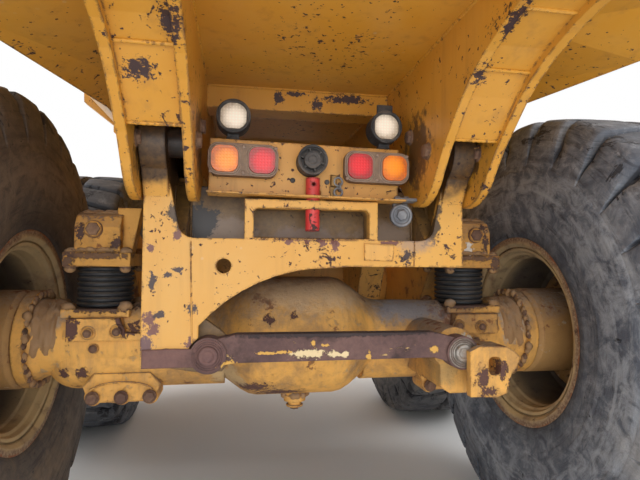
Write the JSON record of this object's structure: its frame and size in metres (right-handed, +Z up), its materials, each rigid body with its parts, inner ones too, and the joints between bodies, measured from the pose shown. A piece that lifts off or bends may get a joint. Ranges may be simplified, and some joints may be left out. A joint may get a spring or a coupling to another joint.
{
  "type": "articulated dump truck rear unit",
  "caption": "Rear load unit of an articulated dump truck: frame with hitch tube, driven axles on walking beams and rubber springs, tipping body with hoist, wheels and tail lamps.",
  "frame": {"origin": "centre of the hitch's bore at the hitch tube's front face", "axes": "+Y forward along the hitch's bore, +X to the vehicle's right, +Z up"},
  "size_m": [2.87, 6.06, 3.2295],
  "materials": {
    "frame_paint": "worn satin",
    "body_paint": "worn satin",
    "rod_rust": "rusty matt",
    "tyre": "worn matt",
    "rim_paint": "rusty",
    "hub_paint": "rusty",
    "rod_chrome": "polished",
    "pin_steel": "greased",
    "rubber": "matt",
    "housing_plastic": "dusty",
    "amber_lens": "moulded lens",
    "red_lens": "moulded lens",
    "clear_lens": "dusty lens",
    "black_plastic": "dusty",
    "red_paint": "worn"
  },
  "bodies": {
    "frame": {"rear_frame": "frame_paint", "frame_end": "frame_paint", "hitch_tube": "frame_paint", "walking_beams": "frame_paint", "rubber_springs": "rubber", "rear_axle": "frame_paint", "middle_axle": "frame_paint", "panhard_rods": "rod_rust", "torque_rods": "rod_rust", "prop_shafts": "rod_rust", "hoist_pins": "pin_steel", "light_bar": "frame_paint", "lamp_housings": "housing_plastic", "amber_lamps": "amber_lens", "red_lamps": "red_lens", "work_lamps": "black_plastic", "work_lenses": "clear_lens", "reversing_alarm": "black_plastic", "lock_pin": "red_paint", "rest_pads": "rubber"},
    "dump_body": {"body_shell": "body_paint", "body_front_wall": "body_paint", "body_rails": "body_paint", "body_keels": "body_paint", "body_wings": "body_paint", "hinge_pins": "pin_steel"},
    "wheel_rear_left": {"tyre_rear_left": "tyre", "rim_rear_left": "rim_paint", "hub_rear_left": "hub_paint"},
    "wheel_rear_right": {"tyre_rear_right": "tyre", "rim_rear_right": "rim_paint", "hub_rear_right": "hub_paint"},
    "wheel_middle_left": {"tyre_middle_left": "tyre", "rim_middle_left": "rim_paint", "hub_middle_left": "hub_paint"},
    "wheel_middle_right": {"tyre_middle_right": "tyre", "rim_middle_right": "rim_paint", "hub_middle_right": "hub_paint"},
    "hoist_barrel_l": {"hoist_barrel_left": "frame_paint"},
    "hoist_barrel_r": {"hoist_barrel_right": "frame_paint"},
    "hoist_rod_l": {"hoist_rod_left": "rod_chrome"},
    "hoist_rod_r": {"hoist_rod_right": "rod_chrome"}
  },
  "joints": [
    {"name": "body_tip", "type": "hinge", "parent": "frame", "child": "dump_body", "pos_m": [0, -5.02, 0.325], "axis": [1, 0, 0], "range_deg": [0, 70]},
    {"name": "hoist_swing_l", "type": "hinge", "parent": "frame", "child": "hoist_barrel_l", "pos_m": [-0.57, -3.8, 0.15], "axis": [1, 0, 0], "range_deg": [0, 85.67]},
    {"name": "hoist_stroke_l", "type": "slide", "parent": "hoist_barrel_l", "child": "hoist_rod_l", "axis": [0, 0.9826, 0.1856], "range_m": [0, 1.2567]},
    {"name": "hoist_swing_r", "type": "hinge", "parent": "frame", "child": "hoist_barrel_r", "pos_m": [0.57, -3.8, 0.15], "axis": [1, 0, 0], "range_deg": [0, 85.67]},
    {"name": "hoist_stroke_r", "type": "slide", "parent": "hoist_barrel_r", "child": "hoist_rod_r", "axis": [0, 0.9826, 0.1856], "range_m": [0, 1.2567]},
    {"name": "roll_rear_left", "type": "hinge", "parent": "frame", "child": "wheel_rear_left", "pos_m": [-1.1375, -4.6, -0.25], "axis": [1, 0, 0], "continuous": true},
    {"name": "roll_rear_right", "type": "hinge", "parent": "frame", "child": "wheel_rear_right", "pos_m": [1.1375, -4.6, -0.25], "axis": [1, 0, 0], "continuous": true},
    {"name": "roll_middle_left", "type": "hinge", "parent": "frame", "child": "wheel_middle_left", "pos_m": [-1.1375, -2.9, -0.25], "axis": [1, 0, 0], "continuous": true},
    {"name": "roll_middle_right", "type": "hinge", "parent": "frame", "child": "wheel_middle_right", "pos_m": [1.1375, -2.9, -0.25], "axis": [1, 0, 0], "continuous": true}
  ],
  "couplings": [
    {"joint": "hoist_swing_l", "follows": "body_tip", "ratio": 1.2238},
    {"joint": "hoist_stroke_l", "follows": "body_tip", "m_per_rad": 1.0284},
    {"joint": "hoist_swing_r", "follows": "body_tip", "ratio": 1.2238},
    {"joint": "hoist_stroke_r", "follows": "body_tip", "m_per_rad": 1.0284}
  ]
}
